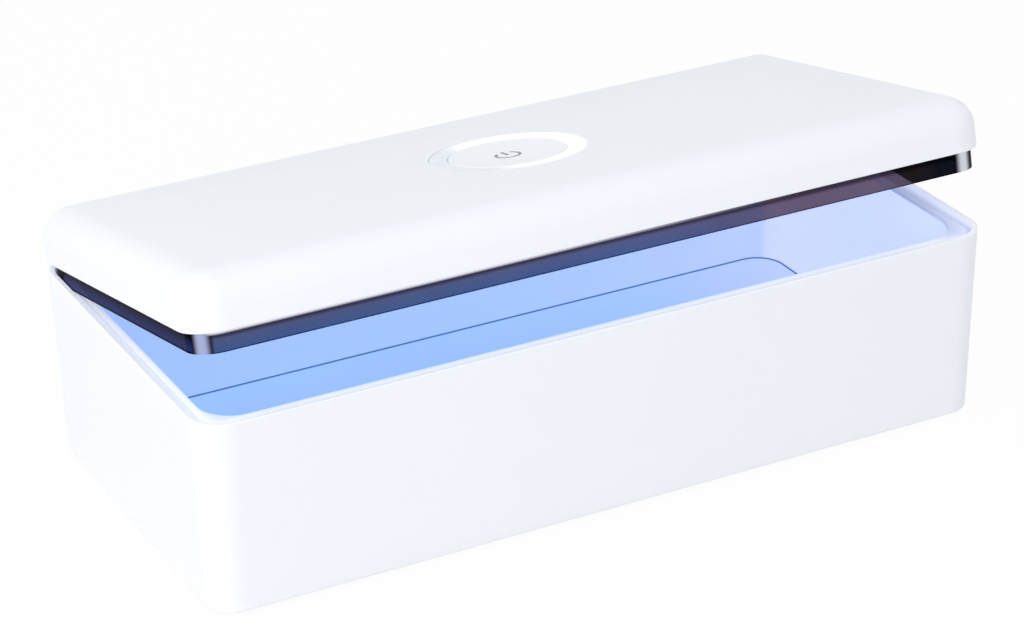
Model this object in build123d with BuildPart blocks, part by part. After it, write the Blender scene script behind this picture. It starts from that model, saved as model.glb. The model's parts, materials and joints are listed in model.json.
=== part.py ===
"""Sanitizer box with a hinged lid and a press button in the lid's top.

Frame: +Z up, X along the long side, -Y the front, +Y the hinge side.
The origin is at the level of the feet's soles, midway along the length and
midway between the front face and the back of the hinge barrels.
The base is drawn on BASE and SIDE, whose y starts at the body's centre line.
Every piece of the lid is drawn on LID and LID_SIDE, which tilt with the lid:
with the lid closed their x and y are those of the base, and their z is the
height above the body's rim.
"""

import os
from math import cos, radians, sin, tan

from build123d import *

os.makedirs("parts", exist_ok=True)

# ---------------------------------------------------------------- sizes, mm
# Body
half_length = 110.0
half_width = 53.6
corner_radius = 8.6
sole_gap = 1.0
shell_height = 51.6
draft_deg = 1.5
rim_z = sole_gap + shell_height
foot_of_shell = shell_height * tan(radians(draft_deg))
shell_wall = 2.4
bottom_edge_radius = 0.8
rim_edge_radius = 0.35

# Rim, front and sides first, then the hinge side
lip = 1.3
lip_back = 2.7
gap = 0.3
skirt_wall = 0.9
skirt_drop = 5.0
ledge_depth = 6.9
flange_thick = 1.2

# Liner and its floor plate
liner_wall = 1.5
liner_top_drop = 1.5
liner_draft_deg = 0.9
chamber_side = 5.3
chamber_front = 6.0
chamber_back = 8.0
chamber_radius = 9.0
liner_floor_z = 5.5
liner_floor_thick = 1.5
chamber_edge_radius = 0.6
plate_thick = 1.0
plate_gap = 0.4

# Bottom cover, feet and screws
cover_thick = 2.2
cover_ledge_thick = 1.4
cover_ledge_width = 2.6
foot_radius = 6.0
foot_pocket = 0.8
foot_end_inset = 16.0
foot_side_inset = 15.6
foot_x = half_length - foot_end_inset
foot_y = half_width - foot_side_inset
foot_spots = [(x, y) for x in (-foot_x, foot_x) for y in (-foot_y, foot_y)]
cover_screw_end_inset = 30.0
cover_screw_front_inset = 19.6
cover_screw_back_inset = 21.6
cover_screw_x = half_length - cover_screw_end_inset
cover_screw_front = cover_screw_front_inset - half_width
cover_screw_back = half_width - cover_screw_back_inset
cover_screw_spots = [
    (x, y)
    for x in (-cover_screw_x, 0.0, cover_screw_x)
    for y in (cover_screw_front, cover_screw_back)
]
cover_boss_radius = 2.8
cover_screw_radius = 1.1
cover_screw_head_radius = 2.2
cover_screw_head_thick = 1.1
cover_screw_roof = 0.7
cross_slot = 0.6

# Hinge
hinge_behind = 1.8
hinge_above = 1.2
hinge_y = half_width + hinge_behind
hinge_z = rim_z + hinge_above
barrel_radius = 2.6
barrel_room = barrel_radius + gap
hinge_end_inset = 50.0
hinge_x = half_length - hinge_end_inset
hinge_spots = (-hinge_x, hinge_x)
lid_knuckle = 10.0
body_knuckle = 6.0
pin_radius = 1.0
pin_clearance = 0.05
bush_radius = 1.7
body_gusset = 8.0
lid_gusset = 6.5
gusset_root = 1.0
hinge_zone = lid_knuckle + 2 * (body_knuckle + gap)
pin_length = hinge_zone - 2 * gap

# Lid shell
ajar_deg = 11.9
lid_gap = 0.3
lid_height = 13.5
lid_wall = 2.2
lid_draft_deg = 1.0
lid_round = 8.1
lid_rebate_top = 2.8
lid_edge_radius = 0.35

# Button group
button_y = -0.4
ring_radius = 20.1
ring_bore = 15.6
ring_sink = 0.1
ring_dip = 0.3
ring_flange_radius = 23.0
ring_flange_thick = 1.2
cap_sink = 0.2
cap_dish = 0.7
cap_radius = ring_bore - gap
cap_thick = 2.0
cap_wall = 1.5
cap_collar_radius = 17.0
cap_collar_thick = 0.8
cap_edge_radius = 0.3
stem_radius = 2.0
symbol_radius = 3.5
symbol_line = 0.8
symbol_depth = 0.3
symbol_proud = 0.06
symbol_gap_deg = 62.0
symbol_bar = 4.0

# Skirt ring and inner panel
shelf_thick = 1.2
shelf_top = 2.5
shelf_inset = 10.5
shelf_inset_back = 12.5
shelf_radius = 8.0
panel_inset = 9.0
panel_inset_back = 10.5
panel_radius = 6.0
panel_thick = 1.6
window_radius = 4.2
window_thick = 1.0
window_clearance = 0.1
window_throat = 3.3
window_pitch = 24.0
window_middle = -1.0
window_rows = [window_middle + step * window_pitch for step in (-1, 0, 1)]
window_end_inset = 48.0
window_x = half_length - window_end_inset
window_columns = (-window_x, window_x)

# Lid fasteners and posts
lid_screw_inset = 6.2
lid_screw_inset_back = 7.6
lid_screw_corner_inset = 27.6
lid_screw_front_end = 62.0
lid_screw_back_end = 64.0
lid_screw_side_x = half_length - lid_screw_inset
lid_screw_side_y = half_width - lid_screw_corner_inset
lid_screw_front_x = half_length - lid_screw_front_end
lid_screw_back_x = half_length - lid_screw_back_end
lid_screw_spots = []
for side in (-1, 1):
    lid_screw_spots += [
        (side * lid_screw_side_x, -lid_screw_side_y),
        (side * lid_screw_side_x, lid_screw_side_y),
        (side * lid_screw_front_x, lid_screw_inset - half_width),
        (side * lid_screw_back_x, half_width - lid_screw_inset_back),
    ]
lid_boss_radius = 2.4
lid_screw_radius = 1.1
lid_screw_head_radius = 2.0
lid_screw_head_thick = 1.1
lid_screw_reach = 5.0
lid_boss_top_drop = 0.4
root_depth = 0.5
post_radius = 2.0
post_outer_inset = 22.0
post_inner_end = 60.0
post_inner_inset = 16.6
post_outer_x = half_length - post_outer_inset
post_outer_y = half_width - post_outer_inset
post_inner_x = half_length - post_inner_end
post_inner_y = half_width - post_inner_inset
post_spots = [
    (x, y)
    for x in (-post_outer_x, post_outer_x)
    for y in (-post_outer_y, post_outer_y)
]
post_spots += [
    (x, y)
    for x in (-post_inner_x, post_inner_x)
    for y in (-post_inner_y, post_inner_y)
]

# Boards
led_board_length = 64.0
led_board_width = 14.0
led_board_thick = 1.0
led_size = 3.5
led_height = 0.9
pad_length = 3.0
board_bottom = 6.1
board_thick = 1.2
board_half = 40.0
board_front = -26.0
board_back_inset = 9.6
board_back = half_width - board_back_inset
board_tongue_half = 9.0
board_tongue_inset = 4.2
board_tongue_back = half_width - board_tongue_inset
board_corner = 2.0
board_screw_inset = 5.0
board_screw_x = board_half - board_screw_inset
board_screw_front = board_front + board_screw_inset
board_screw_back = board_back - board_screw_inset
board_screw_spots = [
    (x, y)
    for x in (-board_screw_x, board_screw_x)
    for y in (board_screw_front, board_screw_back)
]
board_boss_radius = 2.6
board_screw_radius = 1.0
board_screw_head_radius = 1.9
board_screw_head_thick = 1.1
board_screw_reach = 3.4
ring_led_count = 8
ring_led_radius = 17.8
ring_led_size = 2.0
ring_led_height = 0.8
switch_size = 6.2
switch_height = 2.8
plunger_radius = 1.7
plunger_clearance = 0.08
plunger_sunk = 1.0
plunger_proud = 0.5
button_travel = 0.5
plunger_room = 0.1
switch_pocket = plunger_sunk + button_travel + plunger_room
chip_size = 7.0
chip_height = 1.0
chip_inset = 14.0
chip_spot = (-24.0, board_back - chip_inset)
buzzer_radius = 4.5
buzzer_height = 3.0
buzzer_spot = (27.0, board_back - chip_inset)
buzzer_hole_radius = 1.0
buzzer_hole_depth = 1.0
coil_size = 5.0
coil_height = 2.6
coil_inset = 8.0
coil_spot = (10.0, board_back - coil_inset)
capacitor_radius = 2.0
capacitor_height = 3.0
capacitor_y = board_back - coil_inset
capacitor_spots = ((-6.0, capacitor_y), (-11.5, capacitor_y))
hall_size = 3.0
hall_height = 1.0
hall_inset = 2.5
hall_spot = (22.0, board_back - hall_inset)

# Power inlet in the lid's back wall
inlet_width = 8.94
inlet_height = 3.26
inlet_depth = 7.35
inlet_wall = 0.3
inlet_front_inset = 0.6
inlet_back_wall = 1.0
inlet_tongue_width = 6.7
inlet_tongue_thick = 0.7
inlet_tongue_length = 5.0
inlet_room = 0.3

# Magnets
base_magnet = (14.0, 1.3, 4.0)
lid_magnet = (14.0, 3.4, 1.8)
magnet_spots = (-27.0, 27.0)
lid_magnet_inset = 3.2
interlock_magnet = (6.0, 3.0, 4.0)
interlock_drop = 13.0

# ------------------------------------------------------------ derived planes
ajar = radians(ajar_deg)
base_y = -(hinge_behind + barrel_radius) / 2
BASE = Plane(origin=(0, base_y, 0))
SIDE = Plane(origin=(0, base_y, 0), x_dir=(0, 1, 0), z_dir=(1, 0, 0))
lid_y = base_y + hinge_y - hinge_y * cos(ajar) - hinge_above * sin(ajar)
lid_z = hinge_z + hinge_y * sin(ajar) - hinge_above * cos(ajar)
LID = Plane(
    origin=(0, lid_y, lid_z),
    x_dir=(1, 0, 0),
    z_dir=(0, sin(ajar), cos(ajar)),
)
LID_SIDE = Plane(
    origin=(0, lid_y, lid_z),
    x_dir=(0, cos(ajar), -sin(ajar)),
    z_dir=(1, 0, 0),
)
LID_UP = Axis((0, lid_y, lid_z), (0, sin(ajar), cos(ajar)))

lid_base = lid_gap
lid_top = lid_base + lid_height
lid_ceiling = lid_top - lid_wall
shelf_bottom = shelf_top - shelf_thick
panel_top = shelf_top + panel_thick
led_board_bottom = panel_top + led_height
board_top = board_bottom + board_thick
cap_top = lid_top - cap_sink
cap_middle = cap_top - cap_dish
ring_bottom = lid_ceiling - ring_flange_thick
collar_top = ring_bottom - gap
switch_top = board_top + switch_height
plunger_top = switch_top + plunger_proud
cover_top = sole_gap + cover_thick
ledge_z = rim_z - ledge_depth
flange_top = ledge_z + flange_thick
liner_top = rim_z - liner_top_drop
chamber_floor = liner_floor_z + liner_floor_thick
liner_lean = (liner_top - chamber_floor) * tan(radians(liner_draft_deg))
groove = lip + gap + skirt_wall + gap
skirt_swing_back = chamber_back - liner_wall


def plan(side, front, back, radius):
    """Draws the body's outline, moved in by side, front and back."""
    with Locations((0, (front - back) / 2)):
        RectangleRounded(
            2 * (half_length - side), 2 * half_width - front - back, radius
        )


def level(inset, radius):
    """Draws the body's outline moved in by one inset all round."""
    plan(inset, inset, inset, radius)


def discs(plane, spots, radius):
    """Returns a sketch with one circle at each spot on a plane."""
    with BuildSketch(plane) as circles:
        with Locations(*spots):
            Circle(radius)
    return circles.sketch


def power_mark():
    """Draws an open ring with a bar through its gap."""
    with Locations((0, button_y)):
        Circle(symbol_radius)
        Circle(symbol_radius - symbol_line, mode=Mode.SUBTRACT)
        Rectangle(
            2 * symbol_radius * sin(radians(symbol_gap_deg / 2)),
            2 * symbol_radius,
            align=(Align.CENTER, Align.MIN),
            mode=Mode.SUBTRACT,
        )
        Rectangle(symbol_line, symbol_bar, align=(Align.CENTER, Align.MIN))


# -------------------------------------------------------------- outer shell
shell_bottom_inset = foot_of_shell + shell_wall
cover_room_radius = corner_radius - shell_bottom_inset
cover_opening_inset = shell_bottom_inset + cover_ledge_width

with BuildPart() as outer_shell:
    with BuildSketch(BASE.offset(sole_gap)):
        level(foot_of_shell, corner_radius - foot_of_shell)
    extrude(amount=shell_height, taper=-draft_deg)
    fillet(
        outer_shell.faces().sort_by(Axis.Z)[0].edges(),
        bottom_edge_radius,
    )
    fillet(
        outer_shell.faces().sort_by(Axis.Z)[-1].edges(),
        rim_edge_radius,
    )
    # Room for the liner's wall, between the two ledges
    with BuildSketch(BASE.offset(cover_top + cover_ledge_thick)):
        rise = (cover_thick + cover_ledge_thick) * tan(radians(draft_deg))
        level(shell_bottom_inset - rise, cover_room_radius + rise)
    extrude(
        amount=ledge_z - cover_top - cover_ledge_thick,
        taper=-draft_deg,
        mode=Mode.SUBTRACT,
    )
    # Groove that takes the lid's skirt
    with BuildSketch(BASE.offset(rim_z)):
        plan(lip, lip, lip_back, corner_radius - lip)
    extrude(amount=-ledge_depth, mode=Mode.SUBTRACT)
    # Rebate for the bottom cover and the opening above it
    with BuildSketch(BASE.offset(sole_gap)):
        level(shell_bottom_inset, cover_room_radius)
    extrude(amount=cover_thick, mode=Mode.SUBTRACT)
    with BuildSketch(BASE.offset(cover_top)):
        level(cover_opening_inset, cover_room_radius)
    extrude(amount=cover_ledge_thick, mode=Mode.SUBTRACT)
    # Hinge: clear the barrels' zone, then add the body's knuckles
    for spot in hinge_spots:
        with BuildSketch(SIDE.offset(spot)):
            with Locations((hinge_y, hinge_z)):
                Circle(barrel_room)
        extrude(amount=hinge_zone / 2, both=True, mode=Mode.SUBTRACT)
        for side in (-1, 1):
            middle = spot + side * (lid_knuckle + body_knuckle + 2 * gap) / 2
            with BuildSketch(SIDE.offset(middle)):
                with Locations((hinge_y, hinge_z)):
                    Circle(barrel_radius)
                with BuildLine():
                    Polyline(
                        (hinge_y - barrel_radius, hinge_z),
                        (hinge_y + barrel_radius, hinge_z),
                        (half_width - gusset_root, hinge_z - body_gusset),
                        close=True,
                    )
                make_face()
            extrude(amount=body_knuckle / 2, both=True)
        with BuildSketch(SIDE.offset(spot)):
            with Locations((hinge_y, hinge_z)):
                Circle(pin_radius)
        extrude(amount=hinge_zone / 2, both=True, mode=Mode.SUBTRACT)
outer_shell.part.label = "outer_shell"

# ---------------------------------------------------------------- liner tub
inner_low_radius = chamber_radius - liner_lean
wall_radius = chamber_radius + liner_wall

with BuildPart() as liner_tub:
    outer_lean = (liner_top - liner_floor_z) * tan(radians(liner_draft_deg))
    with BuildSketch(BASE.offset(liner_floor_z)):
        plan(
            chamber_side - liner_wall + outer_lean,
            chamber_front - liner_wall + outer_lean,
            chamber_back - liner_wall + outer_lean,
            wall_radius - outer_lean,
        )
    extrude(amount=liner_top - liner_floor_z, taper=-liner_draft_deg)
    with BuildSketch(BASE.offset(flange_top)):
        plan(groove, groove, skirt_swing_back, corner_radius - groove)
    extrude(amount=liner_top - flange_top)
    with BuildSketch(BASE.offset(ledge_z)):
        plan(lip + gap, lip + gap, lip_back + gap, corner_radius - lip - gap)
    extrude(amount=flange_thick)
    with BuildSketch(BASE.offset(chamber_floor)):
        plan(
            chamber_side + liner_lean,
            chamber_front + liner_lean,
            chamber_back + liner_lean,
            inner_low_radius,
        )
    extrude(
        amount=liner_top - chamber_floor,
        taper=-liner_draft_deg,
        mode=Mode.SUBTRACT,
    )
    fillet(
        liner_tub.faces()
        .filter_by(Plane.XY)
        .sort_by(Axis.Z)[-1]
        .inner_wires()[0]
        .edges(),
        chamber_edge_radius,
    )
    extrude(
        discs(BASE.offset(cover_top), cover_screw_spots, cover_boss_radius),
        amount=liner_floor_z - cover_top,
    )
    extrude(
        discs(BASE.offset(cover_top), cover_screw_spots, cover_screw_radius),
        amount=chamber_floor - cover_screw_roof - cover_top,
        mode=Mode.SUBTRACT,
    )
liner_tub.part.label = "liner_tub"

# -------------------------------------------------------------- floor plate
with BuildPart() as floor_plate:
    with BuildSketch(BASE.offset(chamber_floor)):
        plan(
            chamber_side + liner_lean + plate_gap,
            chamber_front + liner_lean + plate_gap,
            chamber_back + liner_lean + plate_gap,
            inner_low_radius - plate_gap,
        )
    extrude(amount=plate_thick)
floor_plate.part.label = "floor_plate"

# ------------------------------------------------------------- bottom cover
screw_head_z = sole_gap + gap
screw_neck_z = screw_head_z + cover_screw_head_thick

with BuildPart() as bottom_cover:
    with BuildSketch(BASE.offset(sole_gap)):
        level(shell_bottom_inset + gap, cover_room_radius - gap)
    extrude(amount=cover_thick)
    extrude(
        discs(BASE.offset(sole_gap), foot_spots, foot_radius),
        amount=foot_pocket,
        mode=Mode.SUBTRACT,
    )
    extrude(
        discs(BASE.offset(sole_gap), cover_screw_spots, cover_screw_head_radius + gap),
        amount=gap + cover_screw_head_thick,
        mode=Mode.SUBTRACT,
    )
    extrude(
        discs(BASE.offset(sole_gap), cover_screw_spots, cover_screw_radius),
        amount=cover_thick,
        mode=Mode.SUBTRACT,
    )
bottom_cover.part.label = "bottom_cover"

# --------------------------------------------------- feet and cover screws
with BuildPart() as feet:
    extrude(discs(BASE, foot_spots, foot_radius), amount=sole_gap + foot_pocket)
    chamfer(feet.edges().group_by(Axis.Z)[0], foot_pocket / 2)
feet.part.label = "feet"

with BuildPart() as cover_screws:
    extrude(
        discs(BASE.offset(screw_head_z), cover_screw_spots, cover_screw_head_radius),
        amount=cover_screw_head_thick,
    )
    extrude(
        discs(BASE.offset(screw_neck_z), cover_screw_spots, cover_screw_radius),
        amount=chamber_floor - cover_screw_roof - gap - screw_neck_z,
    )
    with BuildSketch(BASE.offset(screw_head_z)):
        with Locations(*cover_screw_spots):
            Rectangle(2 * cover_screw_radius, cross_slot)
            Rectangle(cross_slot, 2 * cover_screw_radius)
    extrude(amount=cover_screw_head_thick / 2, mode=Mode.SUBTRACT)
cover_screws.part.label = "cover_screws"

# --------------------------------------------------------------- hinge pins
with BuildPart() as hinge_pins:
    for spot in hinge_spots:
        with BuildSketch(SIDE.offset(spot)):
            with Locations((hinge_y, hinge_z)):
                Circle(pin_radius)
        extrude(amount=pin_length / 2, both=True)
hinge_pins.part.label = "hinge_pins"

# ------------------------------------------------------ magnets in the base
base_magnet_y = -half_width + groove + gap / 2
interlock_y = half_width - skirt_swing_back + gap / 2

with BuildPart() as base_magnets:
    with BuildSketch(BASE.offset(flange_top - flange_thick - base_magnet[2])):
        with Locations(*[(x, base_magnet_y) for x in magnet_spots]):
            Rectangle(base_magnet[0], base_magnet[1], align=(Align.CENTER, Align.MIN))
    extrude(amount=base_magnet[2])
base_magnets.part.label = "base_magnets"

with BuildPart() as interlock_magnet_part:
    with BuildSketch(BASE.offset(rim_z - interlock_drop)):
        with Locations((hall_spot[0], interlock_y)):
            Rectangle(
                interlock_magnet[0], interlock_magnet[1], align=(Align.CENTER, Align.MIN)
            )
    extrude(amount=interlock_magnet[2])
interlock_magnet_part.part.label = "interlock_magnet"

# ---------------------------------------------------------------- lid shell
inlet_middle = board_bottom - inlet_height / 2

with BuildPart() as lid_shell:
    with BuildSketch(LID.offset(lid_base)):
        level(0, corner_radius)
    extrude(amount=lid_height, taper=lid_draft_deg)
    fillet(lid_shell.faces().sort_by(LID_UP)[-1].edges(), lid_round)
    offset(amount=-lid_wall, openings=lid_shell.faces().sort_by(LID_UP)[0])
    fillet(
        lid_shell.faces().sort_by(LID_UP)[0].outer_wire().edges(),
        lid_edge_radius,
    )
    # Rebate for the skirt ring
    with BuildSketch(LID.offset(lid_base)):
        plan(lip, lip, lid_wall, corner_radius - lid_wall)
    extrude(amount=lid_rebate_top - lid_base, mode=Mode.SUBTRACT)
    # Hole for the light ring
    with BuildSketch(LID.offset(lid_ceiling)):
        with Locations((0, button_y)):
            Circle(ring_radius + gap)
    extrude(amount=lid_wall, mode=Mode.SUBTRACT)
    # Posts that press on the inner panel, bosses for the skirt and the board
    extrude(
        discs(LID.offset(panel_top), post_spots, post_radius),
        amount=lid_ceiling + root_depth - panel_top,
    )
    extrude(
        discs(LID.offset(shelf_top), lid_screw_spots, lid_boss_radius),
        amount=lid_ceiling - lid_boss_top_drop - shelf_top,
    )
    extrude(
        discs(LID.offset(shelf_top), lid_screw_spots, lid_screw_radius),
        amount=lid_screw_reach - shelf_thick,
        mode=Mode.SUBTRACT,
    )
    extrude(
        discs(LID.offset(board_top), board_screw_spots, board_boss_radius),
        amount=lid_ceiling + root_depth - board_top,
    )
    extrude(
        discs(LID.offset(board_top), board_screw_spots, board_screw_radius),
        amount=board_screw_reach - board_thick,
        mode=Mode.SUBTRACT,
    )
    # Slot for the power inlet
    with BuildSketch(
        Plane(
            origin=LID.from_local_coords((0, half_width, inlet_middle)),
            x_dir=(1, 0, 0),
            z_dir=-LID.y_dir,
        )
    ):
        SlotOverall(inlet_width + 2 * inlet_room, inlet_height + 2 * inlet_room)
    extrude(amount=lid_wall + gap, mode=Mode.SUBTRACT)
    # Hinge: clear the barrels' zone, then add the lid's knuckles
    for spot in hinge_spots:
        with BuildSketch(LID_SIDE.offset(spot)):
            with Locations((hinge_y, hinge_above)):
                Circle(barrel_room)
        extrude(amount=hinge_zone / 2, both=True, mode=Mode.SUBTRACT)
        with BuildSketch(LID_SIDE.offset(spot)):
            with Locations((hinge_y, hinge_above)):
                Circle(barrel_radius)
            with BuildLine():
                Polyline(
                    (hinge_y - barrel_radius, hinge_above),
                    (hinge_y + barrel_radius, hinge_above),
                    (half_width - gusset_root, hinge_above + lid_gusset),
                    close=True,
                )
            make_face()
            with Locations((hinge_y, hinge_above)):
                Circle(bush_radius, mode=Mode.SUBTRACT)
        extrude(amount=lid_knuckle / 2, both=True)
lid_shell.part.label = "lid_shell"

# --------------------------------------------------------------- skirt ring
skirt_inset = lip + gap
skirt_inset_back = lip_back + gap

with BuildPart() as skirt_ring:
    with BuildSketch(LID.offset(-skirt_drop)):
        plan(skirt_inset, skirt_inset, skirt_inset_back, corner_radius - skirt_inset)
    extrude(amount=shelf_top + skirt_drop)
    with BuildSketch(LID.offset(-skirt_drop)):
        plan(
            skirt_inset + skirt_wall,
            skirt_inset + skirt_wall,
            skirt_inset_back + skirt_wall,
            corner_radius - skirt_inset - skirt_wall,
        )
    extrude(amount=shelf_bottom + skirt_drop, mode=Mode.SUBTRACT)
    with BuildSketch(LID.offset(shelf_bottom)):
        plan(shelf_inset, shelf_inset, shelf_inset_back, shelf_radius)
    extrude(amount=shelf_thick, mode=Mode.SUBTRACT)
    extrude(
        discs(LID.offset(shelf_bottom), lid_screw_spots, lid_screw_radius),
        amount=shelf_thick,
        mode=Mode.SUBTRACT,
    )
skirt_ring.part.label = "skirt_ring"

# -------------------------------------------------------------- inner panel
window_spots = [(x, y) for x in window_columns for y in window_rows]
pad_spots = []
for column in window_columns:
    for side in (-1, 1):
        pad_y = window_rows[1] + side * (led_board_length - pad_length) / 2
        pad_spots.append((column, pad_y))

with BuildPart() as inner_panel:
    with BuildSketch(LID.offset(shelf_top)):
        plan(panel_inset, panel_inset, panel_inset_back, panel_radius)
    extrude(amount=panel_thick)
    extrude(
        discs(LID.offset(shelf_top), window_spots, window_throat),
        amount=panel_thick,
        mode=Mode.SUBTRACT,
    )
    extrude(
        discs(LID.offset(shelf_top), window_spots, window_radius + window_clearance),
        amount=window_thick,
        mode=Mode.SUBTRACT,
    )
    with BuildSketch(LID.offset(panel_top)):
        with Locations(*pad_spots):
            Rectangle(led_board_width, pad_length)
    extrude(amount=led_height)
inner_panel.part.label = "inner_panel"

with BuildPart() as quartz_windows:
    extrude(discs(LID.offset(shelf_top), window_spots, window_radius), amount=window_thick)
quartz_windows.part.label = "quartz_windows"

# --------------------------------------------------- LED boards and emitters
with BuildPart() as led_boards:
    with BuildSketch(LID.offset(led_board_bottom)):
        with Locations(*[(x, window_rows[1]) for x in window_columns]):
            RectangleRounded(led_board_width, led_board_length, board_corner)
    extrude(amount=led_board_thick)
led_boards.part.label = "led_boards"

with BuildPart() as uv_leds:
    with BuildSketch(LID.offset(panel_top)):
        with Locations(*window_spots):
            Rectangle(led_size, led_size)
    extrude(amount=led_height)
uv_leds.part.label = "uv_leds"

# ------------------------------------------------------------ control board
with BuildPart() as control_board:
    with BuildSketch(LID.offset(board_bottom)):
        with Locations((0, (board_front + board_back) / 2)):
            RectangleRounded(2 * board_half, board_back - board_front, board_corner)
        with Locations((0, board_back - board_corner)):
            Rectangle(
                2 * board_tongue_half,
                board_tongue_back - board_back + board_corner,
                align=(Align.CENTER, Align.MIN),
            )
    extrude(amount=board_thick)
    extrude(
        discs(LID.offset(board_bottom), board_screw_spots, board_screw_radius),
        amount=board_thick,
        mode=Mode.SUBTRACT,
    )
control_board.part.label = "control_board"

with BuildPart() as main_chip:
    with BuildSketch(LID.offset(board_top)):
        with Locations(chip_spot):
            Rectangle(chip_size, chip_size)
    extrude(amount=chip_height)
main_chip.part.label = "main_chip"

with BuildPart() as buzzer:
    extrude(
        discs(LID.offset(board_top), [buzzer_spot], buzzer_radius),
        amount=buzzer_height,
    )
    extrude(
        discs(LID.offset(board_top + buzzer_height), [buzzer_spot], buzzer_hole_radius),
        amount=-buzzer_hole_depth,
        mode=Mode.SUBTRACT,
    )
buzzer.part.label = "buzzer"

with BuildPart() as power_parts:
    with BuildSketch(LID.offset(board_top)):
        with Locations(coil_spot):
            Rectangle(coil_size, coil_size)
    extrude(amount=coil_height)
    extrude(
        discs(LID.offset(board_top), capacitor_spots, capacitor_radius),
        amount=capacitor_height,
    )
power_parts.part.label = "power_parts"

with BuildPart() as hall_sensor:
    with BuildSketch(LID.offset(board_bottom)):
        with Locations(hall_spot):
            Rectangle(hall_size, hall_size)
    extrude(amount=-hall_height)
hall_sensor.part.label = "hall_sensor"

with BuildPart() as ring_leds:
    with BuildSketch(LID.offset(board_top)):
        with Locations((0, button_y)):
            with PolarLocations(ring_led_radius, ring_led_count):
                Rectangle(ring_led_size, ring_led_size)
    extrude(amount=ring_led_height)
ring_leds.part.label = "ring_leds"

with BuildPart() as tact_switch:
    with BuildSketch(LID.offset(board_top)):
        with Locations((0, button_y)):
            Rectangle(switch_size, switch_size)
    extrude(amount=switch_height)
    extrude(
        discs(LID.offset(switch_top), [(0, button_y)], plunger_radius + plunger_clearance),
        amount=-switch_pocket,
        mode=Mode.SUBTRACT,
    )
tact_switch.part.label = "tact_switch"

# -------------------------------------------------------------- power inlet
inlet_mouth_y = half_width - inlet_front_inset
INLET = Plane(
    origin=LID.from_local_coords((0, inlet_mouth_y, inlet_middle)),
    x_dir=(1, 0, 0),
    z_dir=-LID.y_dir,
)

with BuildPart() as power_inlet:
    with BuildSketch(INLET):
        SlotOverall(inlet_width, inlet_height)
    extrude(amount=inlet_depth)
    with BuildSketch(INLET):
        SlotOverall(inlet_width - 2 * inlet_wall, inlet_height - 2 * inlet_wall)
    extrude(amount=inlet_depth - inlet_back_wall, mode=Mode.SUBTRACT)
    with BuildSketch(INLET.offset(inlet_depth - inlet_back_wall)):
        Rectangle(inlet_tongue_width, inlet_tongue_thick)
    extrude(amount=-inlet_tongue_length)
power_inlet.part.label = "power_inlet"

# --------------------------------------------------------------- light ring
BUTTON_SIDE = Plane(
    origin=LID.from_local_coords((0, button_y, 0)),
    x_dir=(1, 0, 0),
    z_dir=-LID.y_dir,
)
BUTTON_AXIS = Axis(LID.from_local_coords((0, button_y, 0)), LID.z_dir)

with BuildPart() as light_ring:
    with BuildSketch(BUTTON_SIDE):
        with BuildLine():
            Polyline(
                (ring_bore, ring_bottom),
                (ring_flange_radius, ring_bottom),
                (ring_flange_radius, lid_ceiling),
                (ring_radius, lid_ceiling),
                (ring_radius, lid_top - ring_sink),
                (ring_bore, lid_top - ring_dip),
                close=True,
            )
        make_face()
    revolve(axis=BUTTON_AXIS)
light_ring.part.label = "light_ring"

# --------------------------------------------------------------- button cap
collar_bottom = collar_top - cap_collar_thick
dish_radius = (cap_radius**2 + cap_dish**2) / (2 * cap_dish)

with BuildPart() as power_symbol:
    with BuildSketch(LID.offset(cap_middle - symbol_depth)):
        power_mark()
    extrude(amount=symbol_depth + symbol_proud)
power_symbol.part.label = "power_symbol"

with BuildPart() as button_cap:
    with BuildSketch(BUTTON_SIDE):
        with BuildLine():
            Polyline(
                (0, plunger_top),
                (stem_radius, plunger_top),
                (stem_radius, cap_top - cap_thick),
                (cap_radius - cap_wall, cap_top - cap_thick),
                (cap_radius - cap_wall, collar_bottom),
                (cap_collar_radius, collar_bottom),
                (cap_collar_radius, collar_top),
                (cap_radius, collar_top),
                (cap_radius, cap_top),
            )
            RadiusArc((cap_radius, cap_top), (0, cap_middle), dish_radius)
            Line((0, cap_middle), (0, plunger_top))
        make_face()
    revolve(axis=BUTTON_AXIS)
    fillet(button_cap.edges().sort_by(LID_UP)[-1], cap_edge_radius)
    with BuildSketch(LID.offset(cap_middle - symbol_depth)):
        power_mark()
    extrude(amount=symbol_depth + symbol_proud, mode=Mode.SUBTRACT)
button_cap.part.label = "button_cap"

with BuildPart() as switch_plunger:
    extrude(
        discs(LID.offset(switch_top - plunger_sunk), [(0, button_y)], plunger_radius),
        amount=plunger_sunk + plunger_proud,
    )
switch_plunger.part.label = "switch_plunger"

# ------------------------------------------------------------ lid fasteners
with BuildPart() as lid_screws:
    extrude(
        discs(LID.offset(shelf_bottom - lid_screw_head_thick), lid_screw_spots, lid_screw_head_radius),
        amount=lid_screw_head_thick,
    )
    extrude(
        discs(LID.offset(shelf_bottom), lid_screw_spots, lid_screw_radius),
        amount=lid_screw_reach - gap,
    )
    with BuildSketch(LID.offset(shelf_bottom - lid_screw_head_thick)):
        with Locations(*lid_screw_spots):
            Rectangle(2 * lid_screw_radius, cross_slot)
            Rectangle(cross_slot, 2 * lid_screw_radius)
    extrude(amount=lid_screw_head_thick / 2, mode=Mode.SUBTRACT)
lid_screws.part.label = "lid_screws"

with BuildPart() as board_screws:
    extrude(
        discs(LID.offset(board_bottom - board_screw_head_thick), board_screw_spots, board_screw_head_radius),
        amount=board_screw_head_thick,
    )
    extrude(
        discs(LID.offset(board_bottom), board_screw_spots, board_screw_radius),
        amount=board_screw_reach - gap,
    )
board_screws.part.label = "board_screws"

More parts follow.
